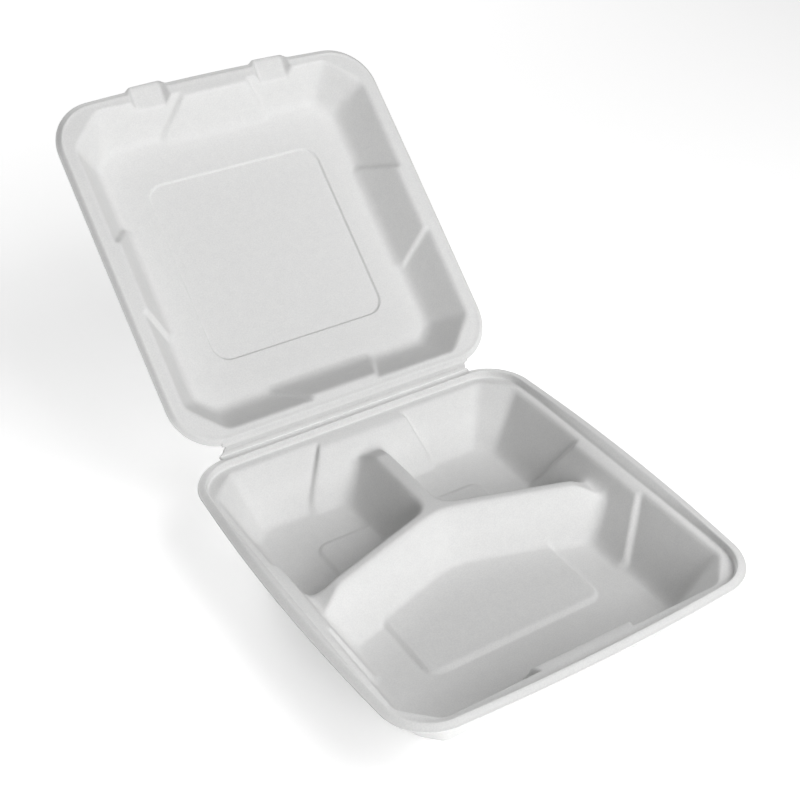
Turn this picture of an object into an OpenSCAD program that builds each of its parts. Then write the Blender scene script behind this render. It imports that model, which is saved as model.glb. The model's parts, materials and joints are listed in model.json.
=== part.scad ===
// Hinged takeout box moulded in one sheet of plant fibre: a three-compartment tray,
// a shallow lid and the creased strip that joins them, drawn with the lid open.

/* [Tray] */
// Width of the flange between its corner lines
tray_w = 225; // [205:1:245]
// Depth of the flange from front to back
tray_d = 236; // [216:1:256]
// Height of the flange edge above the table
tray_h = 41.4; // [37:0.2:48]
// Corner radius of the flange
corner_r = 29; // [25:0.5:33]
// Outward bow of the flange along each side
side_bow = 3.5; // [0:0.5:5]
// Outward bow of the flange along the front
front_bow = 2.6; // [0:0.2:4]
// Thickness of the tray's sheet
tray_sheet = 0.9; // [0.7:0.05:1.1]
// Width of the flange from its edge to its crest
flange_w = 4.5; // [3.5:0.1:5.5]
// Height of the crest above the flange edge
crest_rise = 1.4; // [1:0.1:1.8]
// Depth of the seating ledge below the flange edge
ledge_drop = 3.2; // [2.6:0.1:4]
// Width of the ledge between the rim and the walls
ledge_w = 4.4; // [3.4:0.1:6]

/* [Tray walls] */
// How far a side wall leans in between ledge and floor
side_lean = 19; // [15:0.5:23]
// How far the front or back wall leans in between ledge and floor
end_lean = 13.5; // [10:0.5:18]
// Leg of the flat across each corner, at the ledge
corner_cut = 17; // [12:0.5:20]
// Leg of the flat across each corner, at the floor
corner_cut_foot = 10; // [7:0.5:12]
// Fillet between walls and floor
foot_r = 9; // [6:0.5:11]

/* [Dividers] */
// Depth of the divider tops below the flange edge
divider_drop = 8.4; // [6:0.2:10]
// Flat width on top of the dividers
divider_top = 2.4; // [1.5:0.1:4]
// Rounding along the divider tops
divider_r = 6; // [4:0.5:7]
// Distance of the chevron's peak behind the middle of the tray
peak_y = 27.7; // [18:0.1:32]
// Angle by which each arm of the chevron falls to the front
chevron_fall = 17.2; // [8:0.2:22]
// How far a divider face leans for each millimetre of depth
divider_slope = 0.45; // [0.3:0.05:0.6]
// The same for the chevron's front face
chevron_slope = 0.57; // [0.4:0.01:0.65]
// How far a divider's top falls where it runs into a wall
dip_fall = 8.5; // [4:0.5:12]
// Length of that fall
dip_len = 19; // [12:1:26]

/* [Wall panels] */
// How far the flat panels stand in from the walls
panel_in = 3.4; // [2:0.2:4.4]
// Depth of the bevel from the ledge to a tray panel's face
panel_bevel = 5.3; // [3:0.1:7]
// Width of a tray panel at the ledge
panel_top = 49; // [36:1:58]
// Width of a tray panel at the floor
panel_foot = 82; // [60:1:90]
// Height of the raised floor fields
field_rise = 2; // [1.2:0.1:2.6]

/* [Lid] */
// Distance from lip to floor inside the lid
lid_deep = 23; // [18:0.5:28]
// Thickness of the lid's sheet
lid_sheet = 0.7; // [0.5:0.05:0.8]
// Gap between the closed lid's lip and the line of the crest
lid_side_gap = 0.4; // [0.3:0.05:0.8]
// Gap between the closed lid's lip and the crest at the front
lid_front_gap = 3.7; // [3:0.1:5]
// Height of the lid's ledge above its lip, on the inside
lid_step = 2.6; // [2:0.1:2.8]
// Width of the sloped lip
lid_lip = 2.9; // [2.4:0.1:3.6]
// Width of the lid's ledge between lip and walls
lid_ledge_w = 6.6; // [5:0.2:8]
// How far the lid's walls lean in between ledge and floor
lid_lean = 15.5; // [12:0.5:19]
// Width of a lid panel at the ledge
lid_panel_top = 38; // [28:1:46]
// Width of a lid panel at the floor
lid_panel_foot = 68; // [50:1:76]
// Side of the sunk square field in the lid's floor
square_w = 118; // [95:1:126]
// Depth of that square field
square_deep = 1.2; // [0.8:0.1:2]
// Distance of each thumb bay from the middle
bay_x = 42; // [34:1:48]
// Width of a thumb bay at its floor
bay_w = 19; // [14:0.5:22]
// How far a thumb bay stands out past the lip
bay_out = 2.6; // [2:0.2:3.4]

/* [Hinge] */
// Length of the strip between its two creases
strip_len = 7.7; // [7.4:0.1:8.4]
// Length of the tray's back edge that carries the strip
strip_w = 176; // [150:1:184]
// Distance of the tray crease behind the flange
crease_out = 1.55; // [1.3:0.05:1.8]
// Slope of the strip when the lid is shut
strip_shut = 13; // [13:0.2:16]
// Angle of the open lid from shut
lid_open = 139; // [100:1:180]
// Angle that the strip takes of that, as a share
strip_share = 0.477; // [0.46:0.001:0.49]

/* [Hidden] */
paper = "#e9e9e7";
// Gap along each crease
fold_gap = 0.12;
// Thin slice that ends a hull
slice = 0.01;

tray_hw = tray_w / 2;
tray_hd = tray_d / 2;
ledge_z = tray_h - ledge_drop;
floor_z = tray_sheet;
top_z = tray_h - divider_drop;
wall_h = ledge_z - floor_z;
// Width of the rim up to the foot of its inner face
rim_in = flange_w + 0.6;
wall_x = tray_hw - rim_in - ledge_w + 0.5;
wall_y = tray_hd - rim_in - ledge_w - 1;
side_k = side_lean / wall_h;
end_k = end_lean / wall_h;
cut_k = (side_lean + end_lean - corner_cut + corner_cut_foot) / sqrt(2) / wall_h;
cut_d = (wall_x + wall_y - corner_cut) / sqrt(2);
edge_r = 2;
chevron_k = tan(chevron_fall);

// Crease at the tray, on the upper face
crease_y = tray_hd + crease_out;
crease_z = tray_h + 0.37;
strip_turn = lid_open * strip_share;
strip_angle = 180 - strip_shut - strip_turn;
// Crease at the lid, on the outer face
fold_y = crease_y + strip_len * cos(strip_angle) + lid_sheet * sin(strip_angle);
fold_z = crease_z + strip_len * sin(strip_angle) - lid_sheet * cos(strip_angle);
// The same crease with the lid shut
shut_y = crease_y - strip_len * cos(strip_shut) + lid_sheet * sin(strip_shut);

lid_hw = tray_hw - flange_w + lid_side_gap;
lid_long = shut_y + tray_hd - flange_w - lid_front_gap;
lid_bow = 1.8;
lid_mid = lid_long / 2;
lid_ledge = lid_step - 0.3;
lid_floor = -lid_deep;
lid_wall_h = lid_ledge - lid_floor;
lid_wall_x = lid_hw - lid_lip - lid_ledge_w - 0.7;
lid_wall_y = lid_mid - lid_lip - lid_ledge_w + 1.6;
lid_k = lid_lean / lid_wall_h;
lid_cut = 20;
lid_cut_k = (2 * lid_lean - lid_cut + 11) / sqrt(2) / lid_wall_h;
lid_cut_d = (lid_wall_x + lid_wall_y - lid_cut) / sqrt(2);
// Lip line at the bays, and how far their floor lies below it
lip_v = lid_long + lid_bow * 0.7;
bay_low = 0.25;
bay_end = lip_v + bay_out;

// The open box stands with the middle of its footprint on the origin
reach = fold_y + bay_end * cos(180 - lid_open) + lid_sheet * sin(lid_open);
shift_y = (tray_hd + front_bow - reach) / 2;

// Inset of a leaning face at depth h, rounded at its top by rt and at its foot by rf
function inset(h, deep, k, rt, rf) =
    let (
        a = 90 - atan(k),
        ht = rt * (1 - cos(a)),
        hf = rf * (1 - cos(a))
    )
    h <= 0 ? -rt * tan(a / 2)
    : h < ht ? sqrt(rt * rt - (rt - h) * (rt - h)) - rt * tan(a / 2)
    : h >= deep ? k * deep + rf * tan(a / 2)
    : h > deep - hf ? k * deep + rf * tan(a / 2) - sqrt(rf * rf - pow(rf - deep + h, 2))
    : k * h;

// Distance of side s from the axis at level z, with the sheet's offset g
// s is [direction, distance at its top, lean, top level, top rounding]
function reach_of(s, z, base, g, rf) =
    s[1] + g * (sqrt(1 + s[2] * s[2]) - s[2])
    - inset(s[3] - g - z, s[3] - base, s[2], max(s[4] - g, 0.2), rf + g);

// Meeting point of two sides
function meet(a, da, b, db) =
    [da * sin(b) - db * sin(a), db * cos(a) - da * cos(b)] / sin(b - a);

// Ring of a pocket at level z: its sides, joined by arcs of radius r
function ring(sides, z, base, g, rf, r, n) =
    [
        for (i = [0 : len(sides) - 1])
            let (
                last = i == len(sides) - 1,
                p = sides[i],
                q = sides[last ? 0 : i + 1],
                a = p[0],
                b = q[0] + (last ? 360 : 0),
                da = reach_of(p, z, base, g, rf) - r - g,
                db = reach_of(q, z, base, g, rf) - r - g,
                c = meet(a, da, b, db)
            )
            for (j = [0 : n])
                let (t = a + (b - a) * j / n)
                [c[0] + (r + g) * cos(t), c[1] + (r + g) * sin(t), z]
    ];

// Levels from a floor to a top, close together in the two roundings
function levels(base, top, rf, rt, g) =
    concat(
        [for (a = [0, 17, 34, 50, 64]) base - g + (rf + g) * (1 - cos(a))],
        [(base + top) / 2 - g],
        [for (a = [62, 46, 30, 15, 0]) top - g - max(rt - g, 0.2) * (1 - cos(a))]
    );

// Solid through a stack of rings with equal point counts
module loft(rings) {
    n = len(rings[0]);
    m = len(rings);
    polyhedron(
        [for (r = rings) each r],
        concat(
            [[for (i = [0 : n - 1]) i]],
            [[for (i = [0 : n - 1]) m * n - 1 - i]],
            [
                for (j = [0 : m - 2], i = [0 : n - 1])
                    let (a = j * n + i, b = j * n + (i + 1) % n)
                    each [[a, a + n, b], [b, a + n, b + n]]
            ]
        ),
        convexity = 4
    );
}

// Closed band through a loop of rings, like a hoop with that profile
module hoop(rings) {
    n = len(rings[0]);
    m = len(rings);
    polyhedron(
        [for (r = rings) each r],
        [
            for (j = [0 : m - 1], i = [0 : n - 1])
                let (k = (j + 1) % m, h = (i + 1) % n)
                each [[j * n + i, k * n + i, j * n + h], [j * n + h, k * n + i, k * n + h]]
        ],
        convexity = 6
    );
}

// Rounded rectangle whose sides and front may bow outwards
function outline(hw, hd, r, bs, bb, bf, z) =
    let (
        x = hw - r,
        y = hd - r,
        arc = [for (j = [0 : 8]) j * 11.25],
        run = [for (j = [1 : 7]) j / 4 - 1]
    )
    concat(
        [for (a = arc) [x + r * cos(a - 90), -y + r * sin(a - 90), z]],
        [for (u = run) [hw + bs * (1 - u * u), u * y, z]],
        [for (a = arc) [x + r * cos(a), y + r * sin(a), z]],
        [for (u = run) [-u * x, hd + bb * (1 - u * u), z]],
        [for (a = arc) [-x + r * cos(a + 90), y + r * sin(a + 90), z]],
        [for (u = run) [-hw - bs * (1 - u * u), -u * y, z]],
        [for (a = arc) [-x + r * cos(a + 180), -y + r * sin(a + 180), z]],
        [for (u = run) [u * x, -hd - bf * (1 - u * u), z]]
    );

// Rim ring of the tray: inset, share of the bow, level
function tray_ring(d, share, z) =
    outline(tray_hw - d, tray_hd - d, corner_r - d, side_bow * share, 0, front_bow * share, z);

// Rim ring of the lid
function lid_ring(d, share, z) =
    outline(lid_hw - d, lid_mid - d, corner_r - d, 0.2 * share, lid_bow * share, 0, z);

// Panel that stands in from a wall: d and k give the wall, b its half width at top and foot,
// head the depth of the bevel over its face
module panel(d, k, top, deep, b_top, b_foot, in, head, g) {
    off = g * sqrt(1 + k * k);
    run = head > 0 ? k + in / head : k;
    wide = g * sqrt(1 + run * run) - off;
    start = 0.7 + g;
    // depth, and how far the panel stands in there
    faces = head > 0
        ? [[start, start * (run - k) - wide], [(in + wide) / (run - k), in], [deep + 4, in]]
        : [[-3, in], [deep + 4, in]];
    hull() {
        for (f = faces) {
            h = f[0];
            x = d + off - k * h;
            b = b_top + (b_foot - b_top) * h / deep - g * 0.5;
            translate([0, 0, top - h])
                linear_extrude(slice)
                    polygon([
                        [x + 8, -b - f[1]],
                        [x, -b - f[1]],
                        [x - f[1], -b],
                        [x - f[1], b],
                        [x, b + f[1]],
                        [x + 8, b + f[1]]
                    ]);
        }
    }
}

// Raised field with rounded corners and sloped edges between two corner points
module field(x0, y0, x1, y1, r, base, rise, g) {
    in = g * 0.5;
    hull() {
        translate([0, 0, base - g - 1])
            linear_extrude(1)
                pad(x0 + in, y0 + in, x1 - in, y1 - in, r);
        translate([0, 0, base - g])
            linear_extrude(rise)
                pad(x0 + in + rise, y0 + in + rise, x1 - in - rise, y1 - in - rise, max(r - rise, 1));
    }
}

// Flat rounded rectangle between two corner points
module pad(x0, y0, x1, y1, r) {
    translate([x0 + r, y0 + r])
        offset(r = r, $fn = 32)
            square([x1 - x0 - 2 * r, y1 - y0 - 2 * r]);
}

// Sides of the tray's compartments
side_wall = [0, wall_x, side_k, ledge_z, edge_r];
front_wall = [-90, wall_y, end_k, ledge_z, edge_r];
chevron_d = peak_y * cos(chevron_fall);

function turned(s, a) = [a, s[1], s[2], s[3], s[4]];
function corner_side(a) = [a, cut_d, cut_k, ledge_z, edge_r];
function divider_half(k) = divider_top / 2 + divider_r * tan(45 - atan(k) / 2);
function divider_side(a, d, k) = [a, d - divider_half(k), k, top_z, divider_r];

basin_sides = [
    front_wall,
    corner_side(-45),
    side_wall,
    corner_side(45),
    turned(front_wall, 90),
    corner_side(135),
    turned(side_wall, 180),
    corner_side(225)
];
large_sides = [
    front_wall,
    corner_side(-45),
    side_wall,
    divider_side(90 - chevron_fall, chevron_d, chevron_slope),
    divider_side(90 + chevron_fall, chevron_d, chevron_slope),
    turned(side_wall, 180),
    corner_side(225)
];
small_sides = [
    side_wall,
    corner_side(45),
    turned(front_wall, 90),
    divider_side(180, 0, divider_slope),
    divider_side(270 - chevron_fall, -chevron_d, divider_slope)
];

// One compartment from its floor to the divider tops, with the sheet's offset g
module pocket(sides, g) {
    loft([for (z = levels(floor_z, top_z, foot_r, divider_r, g)) ring(sides, z, floor_z, g, foot_r, 9, 3)]);
}

// Dip where a divider runs into a wall: d and k give the wall, y and slant the divider's line
module dip(d, k, y, slant, g) {
    top = top_z - g;
    lip = top + 0.4;
    // distance from the wall, level, half width
    corners = [
        [dip_len, lip, divider_r],
        [dip_len, top, divider_r],
        [dip_len / 2, top - dip_fall * 0.7, divider_r * 2],
        [0, top - dip_fall, divider_r * 3],
        [0, lip, divider_r * 3]
    ];
    hull()
        for (c = corners)
            translate([d + g * sqrt(1 + k * k) - k * (ledge_z - c[1]) - c[0], y + slant * c[0], c[1]])
                cube([slice, 2 * (c[2] + g), slice], center = true);
}

// Everything inside the tray's sheet: the shared basin above the dividers and the compartments
module tray_form(g) {
    above = [for (h = [0, 0.15, 0.6, 1.2]) ledge_z - g - h];
    low = ring(basin_sides, top_z - g, floor_z, g, foot_r, 9, 3);
    rim = [for (i = [3 : -1 : 0]) ring(basin_sides, above[i], floor_z, g, foot_r, 9, 3)];
    lift = [for (p = rim[3]) [p[0], p[1], ledge_z + (g > 0 ? -g / 2 : 1)]];
    difference() {
        union() {
            loft(concat([low], rim, [lift]));
            pocket(large_sides, g);
            pocket(small_sides, g);
            mirror([1, 0, 0])
                pocket(small_sides, g);
            rotate(90)
                dip(wall_y, end_k, 0, 0, g);
            for (m = [0, 1])
                mirror([m, 0, 0])
                    dip(wall_x, side_k, peak_y - wall_x * chevron_k, chevron_k, g);
        }
        for (a = [0 : 3])
            rotate(a * 90)
                panel(
                    a % 2 == 0 ? wall_x : wall_y,
                    a % 2 == 0 ? side_k : end_k,
                    ledge_z,
                    wall_h,
                    panel_top / 2,
                    panel_foot / 2,
                    panel_in,
                    panel_bevel,
                    g
                );
        field(-58, -56, 58, peak_y, 9, floor_z, field_rise, g);
        for (m = [0, 1])
            mirror([m, 0, 0])
                field(13, -10, 58, 64.5, 9, floor_z, field_rise * 0.6, g);
    }
}

// Rim of the tray: flange, crest, inner face and ledge, all one sheet thick
module tray_rim() {
    t = tray_sheet;
    hoop([
        tray_ring(0, 1, tray_h),
        tray_ring(flange_w - 1.3, 1, tray_h + crest_rise * 0.8),
        tray_ring(flange_w, 1, tray_h + crest_rise),
        tray_ring(flange_w + 0.4, 0.9, tray_h + crest_rise - 0.5),
        tray_ring(rim_in, 0, ledge_z + 0.3),
        tray_ring(rim_in + 0.4, 0, ledge_z),
        tray_ring(20, 0, ledge_z),
        tray_ring(20, 0, ledge_z - t),
        tray_ring(rim_in - t * 0.7, 0, ledge_z - t),
        tray_ring(rim_in - t * 1.05, 0, ledge_z - t * 0.3),
        tray_ring(flange_w - t * 0.7, 0.9, tray_h + crest_rise - t - 0.5),
        tray_ring(flange_w - t, 1, tray_h + crest_rise - t - 0.3),
        tray_ring(0, 1, tray_h - t)
    ]);
}

// Level tongue behind the flange that ends at the tray crease
module tray_tongue() {
    translate([0, 0, crease_z - tray_sheet])
        linear_extrude(tray_sheet)
            polygon([
                [-strip_w / 2 - 2, tray_hd - 1.6],
                [strip_w / 2 + 2, tray_hd - 1.6],
                [strip_w / 2, crease_y],
                [-strip_w / 2, crease_y]
            ]);
}

module tray() {
    color(paper)
        translate([0, shift_y, 0])
            difference() {
                union() {
                    tray_rim();
                    tray_form(tray_sheet);
                    tray_tongue();
                }
                tray_form(0);
            }
}

// Strip between the two creases, narrowed by round necks at its ends
module hinge_strip() {
    long = strip_len - fold_gap;
    relief = lid_sheet * tan(strip_shut + 3);
    color(paper)
        translate([0, shift_y + crease_y, crease_z])
            rotate([strip_angle, 0, 0])
                difference() {
                    translate([-strip_w / 2, 0, 0])
                        rotate([90, 0, 90])
                            linear_extrude(strip_w)
                                polygon([
                                    [fold_gap, 0],
                                    [long - relief, 0],
                                    [long, -lid_sheet],
                                    [fold_gap, -lid_sheet]
                                ]);
                    for (s = [-1, 1])
                        translate([s * (strip_w / 2 + 0.8), strip_len / 2, -2])
                            cylinder(h = 4, r = strip_len / 2 - 0.6, $fn = 48);
                }
}

// Sides of the lid's hollow, measured from its middle
lid_side = [0, lid_wall_x, lid_k, lid_ledge, edge_r];
lid_end = [90, lid_wall_y, lid_k, lid_ledge, edge_r];

function lid_corner(a) = [a, lid_cut_d, lid_cut_k, lid_ledge, edge_r];

lid_sides = [
    turned(lid_end, -90),
    lid_corner(-45),
    lid_side,
    lid_corner(45),
    lid_end,
    lid_corner(135),
    turned(lid_side, 180),
    lid_corner(225)
];

// Bay in the far edge, cut down to a floor that rises to the lip
module thumb_bay(g) {
    ends = g > 0 ? [lip_v - 17, lip_v - lid_lip, lip_v] : [lip_v - 17, lip_v, lip_v + 4];
    over = lid_step + 0.6;
    under = lid_ledge - g / 4;
    tops = g > 0 ? [under, under, 0.4] : [over, over, over];
    hull() {
        for (i = [0 : 2]) {
            w = -bay_low - (lip_v - ends[i]) * 0.22 - g * 1.05;
            b = bay_w / 2 + g * 0.5;
            h = tops[i] - w;
            translate([0, ends[i] - lid_mid, 0])
                rotate([90, 0, 0])
                    linear_extrude(slice)
                        polygon([[-b, w], [b, w], [b + h * 0.9, w + h], [-b - h * 0.9, w + h]]);
        }
    }
}

// Ear that carries a bay's floor out past the lip
module ear() {
    b = bay_w / 2;
    translate([0, lip_v - lid_mid, -bay_low - lid_sheet])
        linear_extrude(lid_sheet)
            polygon([
                [-b - 4, -1.4],
                [b + 4, -1.4],
                [b + 3.4, 0],
                [b, bay_out],
                [-b, bay_out],
                [-b - 3.4, 0]
            ]);
}

// Everything inside the lid's sheet, opening towards +Z
module lid_form(g) {
    below = levels(lid_floor, lid_ledge, foot_r, edge_r, g);
    rings = [for (z = below) ring(lid_sides, z, lid_floor, g, foot_r, 8, 3)];
    top = rings[len(rings) - 1];
    lift = [for (p = top) [p[0], p[1], lid_ledge + (g > 0 ? -g / 2 : 1.5)]];
    s = square_w / 2;
    b_top = lid_panel_top / 2;
    b_foot = lid_panel_foot / 2;
    difference() {
        loft(concat(rings, [lift]));
        for (a = [0 : 3])
            rotate(a * 90)
                panel(
                    a % 2 == 0 ? lid_wall_x : lid_wall_y,
                    lid_k,
                    lid_ledge,
                    lid_wall_h,
                    b_top,
                    b_foot,
                    panel_in - 0.4,
                    0,
                    g
                );
    }
    translate([0, 0, lid_floor - square_deep - g])
        linear_extrude(square_deep + 1)
            pad(-s - g / 2, -s - g / 2, s + g / 2, s + g / 2, 11);
    for (m = [0, 1])
        mirror([m, 0, 0])
            translate([bay_x, 0, 0])
                thumb_bay(g);
}

// Rim of the lid: sloped lip and flat ledge, all one sheet thick
module lid_rim() {
    t = lid_sheet;
    hoop([
        lid_ring(0, 1, 0),
        lid_ring(lid_lip, 0.8, lid_step),
        lid_ring(lid_lip + 0.6, 0.6, lid_step),
        lid_ring(18, 0, lid_ledge),
        lid_ring(18, 0, lid_ledge - t),
        lid_ring(lid_lip + 0.2, 0.6, lid_step - t),
        lid_ring(lid_lip - t * 0.4, 0.8, lid_step - t * 1.1),
        lid_ring(0, 1, -t)
    ]);
}

module lid() {
    color(paper)
        translate([0, shift_y + fold_y, fold_z])
            rotate([180 - lid_open, 0, 0])
                translate([0, lid_mid, lid_sheet])
                    difference() {
                        union() {
                            lid_rim();
                            lid_form(lid_sheet);
                            for (x = [-bay_x, bay_x])
                                translate([x, 0, 0])
                                    ear();
                        }
                        lid_form(0);
                    }
}

tray();
hinge_strip();
lid();
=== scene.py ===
import json
import bmesh
import bpy
import numpy as np
from mathutils import Matrix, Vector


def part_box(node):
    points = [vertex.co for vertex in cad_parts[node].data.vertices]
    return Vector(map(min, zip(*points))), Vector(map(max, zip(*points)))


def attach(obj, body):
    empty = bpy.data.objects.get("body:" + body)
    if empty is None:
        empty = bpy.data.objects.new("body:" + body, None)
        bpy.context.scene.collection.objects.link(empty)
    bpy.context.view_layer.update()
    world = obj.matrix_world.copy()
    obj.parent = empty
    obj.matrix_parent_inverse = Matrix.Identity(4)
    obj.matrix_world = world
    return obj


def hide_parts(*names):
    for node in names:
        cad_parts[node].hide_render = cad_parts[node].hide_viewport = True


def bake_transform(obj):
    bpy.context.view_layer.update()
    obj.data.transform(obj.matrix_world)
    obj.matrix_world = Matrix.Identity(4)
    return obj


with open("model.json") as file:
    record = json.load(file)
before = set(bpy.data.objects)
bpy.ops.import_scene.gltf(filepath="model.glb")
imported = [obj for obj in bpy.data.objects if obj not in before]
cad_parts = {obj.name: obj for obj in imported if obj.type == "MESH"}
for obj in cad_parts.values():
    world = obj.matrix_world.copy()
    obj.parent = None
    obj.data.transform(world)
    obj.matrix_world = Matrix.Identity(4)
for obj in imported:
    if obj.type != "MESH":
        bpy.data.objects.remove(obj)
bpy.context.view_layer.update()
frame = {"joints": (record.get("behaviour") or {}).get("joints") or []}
scene = bpy.context.scene
mm = 0.001  # all shapes below are worked out in mm

joints = {j["name"]: j for j in frame["joints"]}
creaseY, creaseZ = [v / mm for v in joints["strip_fold"]["pos_m"][1:]]
foldY, foldZ = [v / mm for v in joints["lid_fold"]["pos_m"][1:]]


def hexLinear(code):
    c = np.array([int(code[i:i + 2], 16) / 255 for i in (1, 3, 5)])
    return tuple(np.where(c <= 0.04045, c / 12.92, ((c + 0.055) / 1.055) ** 2.4)) + (1.0,)


def softMax(a, b, r):
    h = np.maximum(r - np.abs(a - b), 0.0)
    return np.maximum(a, b) + h * h / (4 * r)


def softMin(a, b, r):
    return -softMax(-a, -b, r)


def ramp(t):
    t = np.clip(t, 0.0, 1.0)
    return t * t * (3 - 2 * t)


def roundedBox(x, y, middle, half, r):
    qx = np.abs(x - middle[0]) - half[0] + r
    qy = np.abs(y - middle[1]) - half[1] + r
    return np.hypot(np.maximum(qx, 0), np.maximum(qy, 0)) + np.minimum(np.maximum(qx, qy), 0) - r


# height of the four sloped walls with their panels, and of the flats across the corners
def walls(x, y, s):
    deep = s["ledgeZ"] - s["floorZ"]
    pairs = (
        (np.abs(x), y, s["wallX"], s["sideK"], s["sideHead"]),
        (np.abs(y), x, s["wallY"], s["endK"], s["endHead"]),
    )
    planes = []
    for along, across, d, k, (inTop, inFoot, headRun) in pairs:
        h = np.clip((d - along) / k / deep, 0.0, 1.0)
        half = s["panelTop"] / 2 + (s["panelFoot"] - s["panelTop"]) / 2 * h
        m = np.clip((half + s["bevel"] - np.abs(across)) / s["bevel"], 0.0, 1.0)
        m = (1 - s["bevelRound"]) * m + s["bevelRound"] * ramp(m)
        face = s["ledgeZ"] + (along - d + (inTop + (inFoot - inTop) * h) * m) / k
        if headRun:
            face = softMin(face, s["ledgeZ"] + (along - d) / headRun, s["headR"])
        planes.append(face)
    cut = s["ledgeZ"] + ((np.abs(x) + np.abs(y)) / np.sqrt(2) - s["cutD"]) / s["cutK"]
    return softMax(np.maximum(planes[0], planes[1]), cut, s["cornerSoft"])


# places of the grid lines from -1 to 1, closer together where the set asks for it
def stations(half, s):
    cuts, steps = [0.0, half], [s["step"]]
    if s["fine"]:
        low, high, near = s["fine"]
        cuts, steps = [0.0, low, high, half], [s["step"], near, s["step"]]
    parts = zip(cuts, cuts[1:], steps)
    side = np.concatenate([np.linspace(a, b, int(round((b - a) / step)) + 1)[1:] for a, b, step in parts])
    return np.concatenate([-side[::-1], [0.0], side]) / half


sheetSet = dict(cornerSteps=18, edgeSwell=0.16)  # faces in a rim corner, roundness of the sheet's edge


# one point, outward direction and bow for each place round the rim, clockwise from the back left
def outlineOf(s):
    r = s["cornerR"]
    w, d, inner = s["halfW"] - r, s["halfD"] - r, r - s["gridInset"]
    arc = np.radians(np.linspace(90, 0, sheetSet["cornerSteps"] + 1))
    u, t = stations(w + inner, s), -stations(d, s)
    backArc, frontArc = arc[:-1], arc[::-1][1:]
    rowY = np.concatenate([d + inner * np.sin(backArc), t * d, -d - inner * np.sin(frontArc)])
    straight = np.full(len(t), w + inner)
    chord = np.concatenate([w + inner * np.cos(backArc), straight, w + inner * np.cos(frontArc)])
    core, out, bow = [], [], []

    def put(point, normal, swell):
        core.append(point)
        out.append(normal)
        bow.append(swell)

    for v in u:  # back
        put((v * w, d), (0, 1), (0, s["backBow"] * (1 - v * v)))
    for a in arc[1:-1]:
        put((w, d), (np.cos(a), np.sin(a)), (0, 0))
    for v in t:  # right side
        put((w, v * d), (1, 0), (s["sideBow"] * (1 - v * v), 0))
    for a in arc[::-1][1:-1]:
        put((w, -d), (np.cos(a), -np.sin(a)), (0, 0))
    for v in u[::-1]:  # front
        put((v * w, -d), (0, -1), (0, -s["frontBow"] * (1 - v * v)))
    for a in arc[1:-1]:
        put((-w, -d), (-np.cos(a), -np.sin(a)), (0, 0))
    for v in t[::-1]:  # left side
        put((-w, v * d), (-1, 0), (-s["sideBow"] * (1 - v * v), 0))
    for a in arc[::-1][1:-1]:
        put((-w, d), (-np.cos(a), np.sin(a)), (0, 0))
    return np.array(core), np.array(out), np.array(bow), u, rowY, chord


def bandQuads(inside, outside):
    return np.stack([inside, np.roll(inside, -1), np.roll(outside, -1), outside], -1)


def addMesh(name, verts, faces):
    mesh = bpy.data.meshes.new(name)
    mesh.from_pydata((verts * mm).tolist(), [], faces.tolist())
    mesh.update()
    mesh.polygons.foreach_set("use_smooth", [True] * len(mesh.polygons))
    bm = bmesh.new()
    bm.from_mesh(mesh)
    bmesh.ops.recalc_face_normals(bm, faces=bm.faces)
    bm.to_mesh(mesh)
    bm.free()
    obj = bpy.data.objects.new(name, mesh)
    scene.collection.objects.link(obj)
    return obj


# a pressed sheet: a grid at the given height inside, rings of the rim round it, and its other face
def sheetMesh(name, s, height, rings, reshape=None):
    core, out, bow, u, rowY, chord = outlineOf(s)
    x = (chord[:, None] * u[None, :]).ravel()
    y = np.repeat(rowY, len(u))
    rows, cols, n = len(rowY), len(u), len(core)
    grid = np.arange(rows * cols).reshape(rows, cols)
    ring = np.concatenate([grid[0], grid[1:, -1], grid[-1, ::-1][1:], grid[1:-1, 0][::-1]])
    points = [np.c_[x, y, height(x, y)]]
    for inset, share, z in rings:
        p = core + (s["cornerR"] - inset) * out + share * bow
        points.append(np.c_[p, height(p[:, 0], p[:, 1]) if z is None else np.full(n, z)])
    top = np.concatenate(points)
    if reshape:
        reshape(top)
    quads = [np.stack([grid[1:, :-1], grid[1:, 1:], grid[:-1, 1:], grid[:-1, :-1]], -1).reshape(-1, 4)]
    for i in range(len(rings)):
        after = rows * cols + i * n + np.arange(n)
        quads.append(bandQuads(ring, after))
        ring = after
    quads = np.concatenate(quads)
    normal = np.zeros_like(top)  # area-weighted, to set the sheet's other face
    q = top[quads]
    face = np.cross(q[:, 2] - q[:, 0], q[:, 3] - q[:, 1])
    for i in range(4):
        np.add.at(normal, quads[:, i], face)
    normal /= np.linalg.norm(normal, axis=1)[:, None]
    normal *= np.sign(normal[:len(x)].mean(0)[2])
    under = top - s["sheet"] * normal
    under[ring] = top[ring] - np.array([0, 0, s["sheet"]])
    total = len(top)
    edge = (top[ring] + under[ring]) / 2
    edge[:, :2] += sheetSet["edgeSwell"] * out
    edgeRing = 2 * total + np.arange(n)
    strips = [bandQuads(ring, edgeRing), bandQuads(edgeRing, ring + total)]
    faces = np.concatenate([quads, quads[:, ::-1] + total] + strips)
    return addMesh(name, np.concatenate([top, under, edge]), faces)


print("stage: tray")
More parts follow.
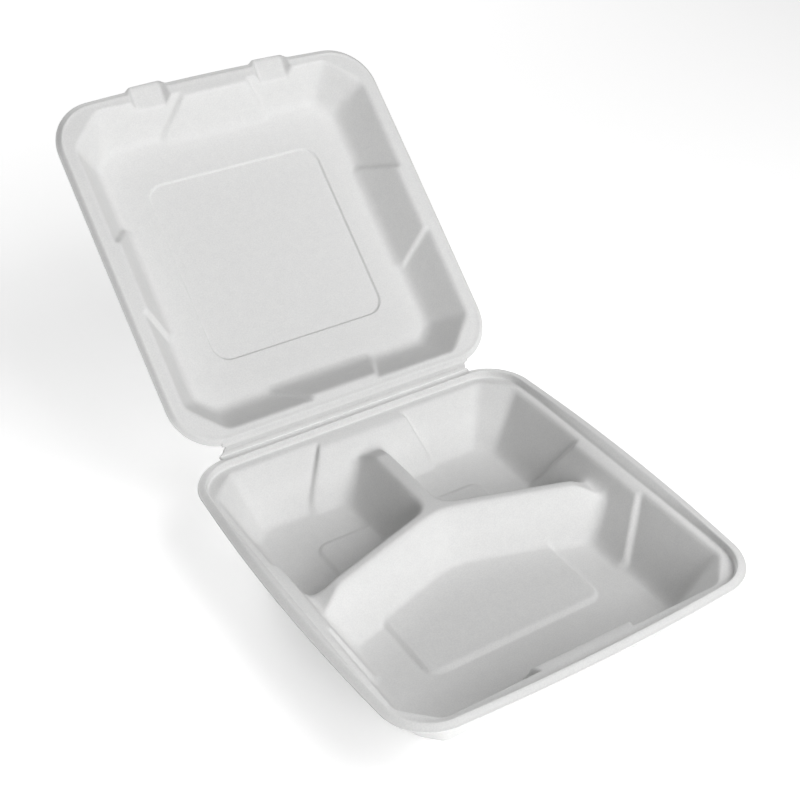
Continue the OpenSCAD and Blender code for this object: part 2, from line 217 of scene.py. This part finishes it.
# slopes are mm inwards for each mm down; a head is the panel's depth at top and foot, and its top's slope
traySet = dict(
    halfW=112.5, halfD=118.0, cornerR=29.0, sideBow=3.5, backBow=0.0, frontBow=2.6,
    edgeZ=41.4, ledgeZ=38.2, ledgeR=2.2, floorZ=0.9, sheet=0.9,
    wallX=103.5, wallY=107.5, sideK=0.51, endK=0.362, cutD=137.2, cutK=0.484, cornerSoft=5.0,
    sideHead=(2.6, 3.4, 2.1), endHead=(5.2, 3.6, 2.1), headR=1.2,
    panelTop=47.0, panelFoot=80.0, bevel=5.4, bevelRound=0.35,
    topZ=33.0, dividerHalf=4.6, dividerK=0.45, dividerR=4.2,
    chevronD=25.26, chevronHalf=3.4, chevronFall=17.2, chevronK=0.44,
    frontPeak=(7.0, 0.5), backPeak=(4.0, 0.6),
    dipFall=8.5, dipLen=25.0, dipFoot=4.0, dipR=7.0,
    footR=7.0, chevronFootR=6.0, footBlend=40.0, smallFootR=8.0, nookR=24.0, frontNookR=12.0,
    largeMiddle=(0.0, -15.0), largeHalf=(58.0, 41.0), largeRise=2.6, largeEdge=2.4,
    smallMiddle=(35.5, 27.0), smallHalf=(22.5, 37.5), smallRise=1.4, smallEdge=1.8, fieldR=9.0,
    gridInset=7.2, step=1.15, fine=None,
)
# rings of the rim from the ledge out to the edge: inset, share of the bow, level
trayRings = [
    (6.6, 0, None), (6.0, 0, None), (5.6, 0.0, 38.26), (5.3, 0.03, 38.55), (5.15, 0.1, 39.2),
    (5.1, 0.3, 40.2), (5.08, 0.6, 41.2), (5.0, 0.85, 42.1), (4.8, 0.95, 42.6), (4.5, 1, 42.8),
    (4.0, 1, 42.82), (3.2, 1, 42.6), (2.3, 1, 42.22), (1.5, 1, 41.86), (1.0, 1, 41.62),
    (0.7, 1, 41.5), (0.35, 1, 41.45), (0, 1, 41.4),
]
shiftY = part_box("tray")[0][1] / mm + traySet["halfD"] + traySet["frontBow"]  # the tray's middle in the part


# distance past the chevron's middle line, with its peak rounded
def chevronSide(x, y, peak):
    fall = np.radians(traySet["chevronFall"])
    soft, share = peak
    return (np.hypot(x, soft) - soft * share) * np.sin(fall) + y * np.cos(fall) - traySet["chevronD"]


def trayHeight(x, y):
    s = traySet
    wall = walls(x, y, s)
    top, k = s["topZ"], s["dividerK"]
    front = top + (chevronSide(x, y, s["frontPeak"]) + s["chevronHalf"]) / s["chevronK"]
    back = top + (s["chevronHalf"] - chevronSide(x, y, s["backPeak"])) / k
    centre = top + (s["dividerHalf"] - np.abs(x)) / k
    inLarge = -roundedBox(x, y, s["largeMiddle"], s["largeHalf"], s["fieldR"])
    inSmall = -roundedBox(np.abs(x), y, s["smallMiddle"], s["smallHalf"], s["fieldR"])
    large = s["floorZ"] + s["largeRise"] * ramp(inLarge / s["largeEdge"])
    small = s["floorZ"] + s["smallRise"] * ramp(inSmall / s["smallEdge"])
    foot = s["footR"] + (s["chevronFootR"] - s["footR"]) * ramp((front - wall) / s["footBlend"] + 0.5)
    large = softMax(large, softMax(wall, front, s["frontNookR"]), foot)
    small = softMax(small, softMax(softMax(wall, back, s["nookR"]), centre, s["nookR"]), s["smallFootR"])
    under = s["ledgeZ"] - top
    toSide = s["wallX"] - s["sideK"] * under - np.abs(x)
    toBack = s["wallY"] - s["endK"] * under - y
    dip = ramp((s["dipLen"] - np.minimum(toSide, toBack)) / (s["dipLen"] - s["dipFoot"]))
    crown = softMax(top - s["dipFall"] * dip, wall, s["dipR"])  # the tops dip where they run into a wall
    inner = np.minimum(softMin(large, crown, s["dividerR"]), softMin(small, crown, s["dividerR"]))
    return softMin(np.maximum(inner, wall), np.full_like(x, s["ledgeZ"]), s["ledgeR"])


tray = sheetMesh("trayShell", traySet, trayHeight, trayRings)
tray.data.transform(Matrix.Translation((0, shiftY * mm, 0)))

print("stage: lid")
lidSet = dict(
    halfW=108.4, halfD=111.0, cornerR=29.0, sideBow=0.2, backBow=1.8, frontBow=0.0,
    ledgeZ=2.3, ledgeR=2.0, floorZ=-23.0, sheet=0.7, footR=6.0,
    wallX=98.2, wallY=103.1, sideK=0.613, endK=0.613, cutD=128.2, cutK=0.61, cornerSoft=4.0,
    sideHead=(3.0, 3.0, 0.0), endHead=(3.0, 3.0, 0.0),
    panelTop=36.5, panelFoot=66.5, bevel=4.8, bevelRound=0.35,
    squareHalf=59.0, squareR=11.0, squareDeep=1.5, squareEdge=1.0,
    gridInset=5.4, step=1.2, fine=(54.6, 60.2, 0.4), open=139.0,
)
lidRings = [
    (4.8, 0.3, 2.34), (4.2, 0.5, 2.4), (3.7, 0.6, 2.5), (3.3, 0.7, 2.56), (2.9, 0.8, 2.5),
    (2.5, 0.85, 2.3), (2.0, 0.9, 1.85), (1.5, 0.95, 1.36), (1.1, 1, 0.9), (0.8, 1, 0.55),
    (0.5, 1, 0.26), (0.25, 1, 0.1), (0, 1, 0.0),
]
# thumb bays: place, half width, reach past the lip and depth, then how their edges run out
baySet = dict(
    middle=42.0, half=9.5, out=2.6, low=0.25, fall=0.22, wallK=0.8, wallR=0.5, rimR=0.8,
    bowShare=0.7, lipOver=0.5, flare=4.6, flareRun=5.0, reach=7.0, reachRun=6.0, zone=22.0, zoneRun=4.0,
)


def lidHeight(x, y):
    s = lidSet
    edge = roundedBox(x, y, (0.0, 0.0), (s["squareHalf"], s["squareHalf"]), s["squareR"])
    base = s["floorZ"] - s["squareDeep"] * ramp(-edge / s["squareEdge"] + 0.5)
    z = softMax(base, walls(x, y, s), s["footR"])
    return softMin(z, np.full_like(x, s["ledgeZ"]), s["ledgeR"])


def pressBays(top):
    s = baySet
    lip = lidSet["halfD"] + lidSet["backBow"] * s["bowShare"]
    y = top[:, 1].copy()
    side = np.abs(np.abs(top[:, 0]) - s["middle"])
    bulge = s["out"] * ramp((s["half"] + s["flare"] - side) / s["flareRun"])
    top[:, 1] += bulge * ramp((y - lip + s["reach"]) / s["reachRun"])
    floor = -s["low"] - (lip - np.minimum(top[:, 1], lip + s["lipOver"])) * s["fall"]
    bay = softMax(floor, floor + (side - s["half"]) / s["wallK"], s["wallR"])
    zone = ramp((y - lidSet["halfD"] + s["zone"]) / s["zoneRun"])
    top[:, 2] += (softMin(top[:, 2], bay, s["rimR"]) - top[:, 2]) * zone


lid = sheetMesh("lidShell", lidSet, lidHeight, lidRings, pressBays)
openA = np.radians(180 - lidSet["open"])
lid.data.transform(Matrix.Translation((0, foldY * mm, foldZ * mm)) @ Matrix.Rotation(openA, 4, "X")
                   @ Matrix.Translation((0, lidSet["halfD"] * mm, lidSet["sheet"] * mm)))

print("stage: hinge strip")
# neck is how far the ends draw in at mid-strip, lidNarrow and trayFlare how they meet lid and tray
stripSet = dict(
    half=88.0, neck=3.6, lidNarrow=2.6, trayFlare=9.6, past=0.12, length=7.7, sheet=0.7, angle=100.697,
    overlap=0.15, pathSteps=40, widthSteps=120,
)
stripA = np.radians(stripSet["angle"])
stripAlong = np.array([np.cos(stripA), np.sin(stripA)])
crease = np.array([creaseY, creaseZ])
middle = crease + stripAlong * stripSet["length"] / 2
lidAlong = np.array([np.cos(openA), np.sin(openA)])
lidUp = np.array([-np.sin(openA), np.cos(openA)])
lipIn = np.array([foldY, foldZ]) + lidSet["sheet"] * lidUp


# rounds a run of points in the side view by cutting its corners, and spaces it evenly
def smooth(points):
    p = np.array(points, float)
    for i in range(3):
        q = np.empty((2 * len(p) - 2, 2))
        q[0::2] = 0.75 * p[:-1] + 0.25 * p[1:]
        q[1::2] = 0.25 * p[:-1] + 0.75 * p[1:]
        p = np.concatenate([p[:1], q, p[-1:]])
    t = np.concatenate([[0], np.cumsum(np.linalg.norm(np.diff(p, axis=0), axis=1))])
    even = np.linspace(0, t[-1], stripSet["pathSteps"])
    return np.c_[np.interp(even, t, p[:, 0]), np.interp(even, t, p[:, 1])]


def neckAt(path):
    s = stripSet
    t = np.clip((path - crease) @ stripAlong / s["length"], -s["past"], 1 + s["past"])
    drawn = s["neck"] * np.sqrt(np.clip(1 - (2 * t - 1) ** 2, 0, 1))
    return s["half"] - drawn - s["lidNarrow"] * ramp(2 * t - 1) + s["trayFlare"] * np.clip(-t, 0, 1)


def stripMesh(name, path):
    halves = neckAt(path)
    step = np.gradient(path, axis=0)
    step /= np.linalg.norm(step, axis=1)[:, None]
    back = np.c_[step[:, 1], -step[:, 0]]  # outer side of the sheet
    u = np.linspace(-1, 1, stripSet["widthSteps"] + 1)
    x = (halves[:, None] * u[None, :]).ravel()
    layers = [np.c_[x, np.repeat(path + off * back, len(u), 0)] for off in (0.0, stripSet["sheet"])]
    g = np.arange(len(x)).reshape(len(path), len(u))
    quads = np.stack([g[:-1, :-1], g[:-1, 1:], g[1:, 1:], g[1:, :-1]], -1).reshape(-1, 4)
    rim = np.concatenate([g[0], g[1:, -1], g[-1, ::-1][1:], g[1:-1, 0][::-1]])
    faces = np.concatenate([quads, quads[:, ::-1] + len(x), bandQuads(rim, rim + len(x))])
    return addMesh(name, np.concatenate(layers), faces)


# side view of each half: off the tray's flange and up the strip, then on over the lid's lip
lowerPath = smooth([
    (shiftY + 116.6, 41.9), (shiftY + 117.4, 41.74), (shiftY + 118.2, 41.72), crease + (-0.5, 0.02),
    crease + (0.05, 0.1), crease + stripAlong * 0.9, crease + stripAlong * 2.2,
    middle + stripAlong * stripSet["overlap"],
])
upperPath = smooth([
    middle - stripAlong * stripSet["overlap"], crease + stripAlong * 5.4, crease + stripAlong * 6.9,
    crease + stripAlong * 7.75 + (0.05, 0), lipIn + lidAlong * 0.1 + lidUp * 0.12,
    lipIn + lidAlong * 0.5 + lidUp * 0.36, lipIn + lidAlong * 1.2 + lidUp * 1.0,
])
lowerStrip = stripMesh("stripTraySide", lowerPath)
upperStrip = stripMesh("stripLidSide", upperPath)

print("stage: material")
# pressed sugarcane pulp: matt, off-white, with a fine even grain and faint fibres and no gloss
# sizes in mm; the grain is drawn coarser than the real fibres so that it shows
pulpSet = dict(
    base="#e8e8e7", dark="#dcdcdc", grain=0.8, mottle=5.0, fibre=2.0, mottleShare=0.3, fibreShare=0.6,
    shadeLow=0.4, shadeHigh=0.9, bump=0.1, bumpStrength=0.35, rough=0.82, roughSpread=0.06, specular=0.22,
)


def addNode(tree, kind, settings=None, links=None):
    node = tree.nodes.new(kind)
    for key, value in (settings or {}).items():
        if isinstance(key, int) or key in node.inputs:
            node.inputs[key].default_value = value
        else:
            setattr(node, key, value)
    for key, source in (links or {}).items():
        tree.links.new(source, node.inputs[key])
    return node


def pulpMaterial(name, s):
    m = bpy.data.materials.new(name)
    m.use_nodes = True
    t = m.node_tree
    t.nodes.clear()
    place = {"Vector": addNode(t, "ShaderNodeTexCoord").outputs["Object"]}
    grainNoise = {"Scale": 1 / (s["grain"] * mm), "Detail": 3.0, "Roughness": 0.6}
    mottleNoise = {"Scale": 1 / (s["mottle"] * mm), "Detail": 4.0, "Roughness": 0.55}
    fibreNoise = {"Scale": 1 / (s["fibre"] * mm), "Detail": 5.0, "Roughness": 0.7, "Distortion": 1.2}
    grain = addNode(t, "ShaderNodeTexNoise", grainNoise, place).outputs["Fac"]
    mottle = addNode(t, "ShaderNodeTexNoise", mottleNoise, place).outputs["Fac"]
    fibre = addNode(t, "ShaderNodeTexNoise", fibreNoise, place).outputs["Fac"]
    mottleMix = {"operation": "MULTIPLY_ADD", 1: s["mottleShare"]}
    mixed = addNode(t, "ShaderNodeMath", mottleMix, {0: mottle, 2: grain})
    shadeRange = {"From Min": s["shadeLow"], "From Max": s["shadeHigh"]}
    shade = addNode(t, "ShaderNodeMapRange", shadeRange, {"Value": mixed.outputs[0]})
    colour = addNode(t, "ShaderNodeMix", {"data_type": "RGBA"}, {0: shade.outputs[0]})
    colour.inputs[6].default_value = hexLinear(s["dark"])
    colour.inputs[7].default_value = hexLinear(s["base"])
    fibreMix = {"operation": "MULTIPLY_ADD", 1: s["fibreShare"]}
    tops = addNode(t, "ShaderNodeMath", fibreMix, {0: fibre, 2: grain})
    relief = {"Strength": s["bumpStrength"], "Distance": s["bump"] * mm}
    bump = addNode(t, "ShaderNodeBump", relief, {"Height": tops.outputs[0]})
    roughRange = {"To Min": s["rough"] - s["roughSpread"], "To Max": s["rough"] + s["roughSpread"]}
    rough = addNode(t, "ShaderNodeMapRange", roughRange, {"Value": grain})
    surface = {"Base Color": colour.outputs[2], "Roughness": rough.outputs[0], "Normal": bump.outputs[0]}
    body = addNode(t, "ShaderNodeBsdfPrincipled", {"Specular IOR Level": s["specular"]}, surface)
    addNode(t, "ShaderNodeOutputMaterial", None, {"Surface": body.outputs[0]})
    return m


pulp = pulpMaterial("moulded sugarcane pulp, hot pressed", pulpSet)
slots = ((tray, "tray_fibre"), (lid, "lid_fibre"), (lowerStrip, "strip_fibre"), (upperStrip, "strip_fibre"))
for obj, slotName in slots:
    obj.data.materials.append(pulp)
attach(tray, "tray")
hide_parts("tray")
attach(lid, "lid")
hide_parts("lid")
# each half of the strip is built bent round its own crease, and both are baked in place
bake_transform(lowerStrip)
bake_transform(upperStrip)
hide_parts("hinge_strip")

print("stage: studio")
floorSet = dict(half=6.0, colour="#fbfbfb", glow=0.29)  # half size in metres
floorMesh = bpy.data.meshes.new("studioFloor")
corners = [(a * floorSet["half"], b * floorSet["half"], 0) for a, b in ((-1, -1), (1, -1), (1, 1), (-1, 1))]
floorMesh.from_pydata(corners, [], [(0, 1, 2, 3)])
floor = bpy.data.objects.new("studioFloor", floorMesh)
scene.collection.objects.link(floor)
paint = bpy.data.materials.new("matt white studio paint")  # pale and even, with no gloss
paint.use_nodes = True
paintInputs = paint.node_tree.nodes["Principled BSDF"].inputs
paintInputs["Base Color"].default_value = hexLinear(floorSet["colour"])
paintInputs["Roughness"].default_value = 1.0
paintInputs["Specular IOR Level"].default_value = 0.0
paintInputs["Emission Color"].default_value = (1, 1, 1, 1)
paintInputs["Emission Strength"].default_value = floorSet["glow"]
floorMesh.materials.append(paint)

# bearing from the front towards the right, height angle, distance and size in metres
lightSet = [
    dict(name="frontSoftbox", bearing=-6, lift=22, away=1.3, size=0.65, power=8.2),
    dict(name="cornerSoftbox", bearing=22, lift=46, away=1.3, size=0.65, power=6.0),
    dict(name="sideSoftbox", bearing=48, lift=55, away=1.6, size=0.8, power=4.3),
    dict(name="backSoftbox", bearing=180, lift=22, away=2.3, size=0.9, power=35.0),
    dict(name="topSoftbox", bearing=0, lift=90, away=1.8, size=1.6, power=1.0),
]
aimZ, skyGlow = 0.06, 0.03  # height the lights aim at, strength of the sky
for s in lightSet:
    lamp = bpy.data.lights.new(s["name"], "AREA")
    lamp.energy = s["power"]
    lamp.size = s["size"]
    obj = bpy.data.objects.new(s["name"], lamp)
    scene.collection.objects.link(obj)
    turn, lift = np.radians(s["bearing"]), np.radians(s["lift"])
    z = np.array([np.sin(turn) * np.cos(lift), -np.cos(turn) * np.cos(lift), np.sin(lift)])
    x = np.array([np.cos(turn), np.sin(turn), 0.0])
    y = np.cross(z, x)
    obj.matrix_world = Matrix(np.r_[np.c_[x, y, z, z * s["away"] + (0, 0, aimZ)], [[0, 0, 0, 1]]].tolist())
world = bpy.data.worlds.new("studio sky")
world.use_nodes = True
world.node_tree.nodes["Background"].inputs["Color"].default_value = (1, 1, 1, 1)
world.node_tree.nodes["Background"].inputs["Strength"].default_value = skyGlow
scene.world = world
scene.view_settings.view_transform = "Standard"
scene.view_settings.look = "None"

print("stage: camera")
# place in mm from the middle of the tray's rim, and the directions of the picture's right, down and depth
cameraSet = dict(
    lens=63.18, sensor=36.0, clipEnd=50, at=(-353.6, -467.6, 493.4), right=(0.83905, -0.54382, 0.01594),
    down=(-0.30304, -0.49149, -0.81646), forward=(0.45184, 0.68022, -0.57719),
)
lens = bpy.data.cameras.new("camera")
lens.lens = cameraSet["lens"]
lens.sensor_width = cameraSet["sensor"]
lens.clip_end = cameraSet["clipEnd"]
camera = bpy.data.objects.new("camera", lens)
scene.collection.objects.link(camera)
at = np.array(cameraSet["at"]) + (0, shiftY, traySet["edgeZ"])
up, behind = -np.array(cameraSet["down"]), -np.array(cameraSet["forward"])
camera.matrix_world = Matrix(np.r_[np.c_[cameraSet["right"], up, behind, at * mm], [[0, 0, 0, 1]]].tolist())
scene.camera = camera

print("stage: done")
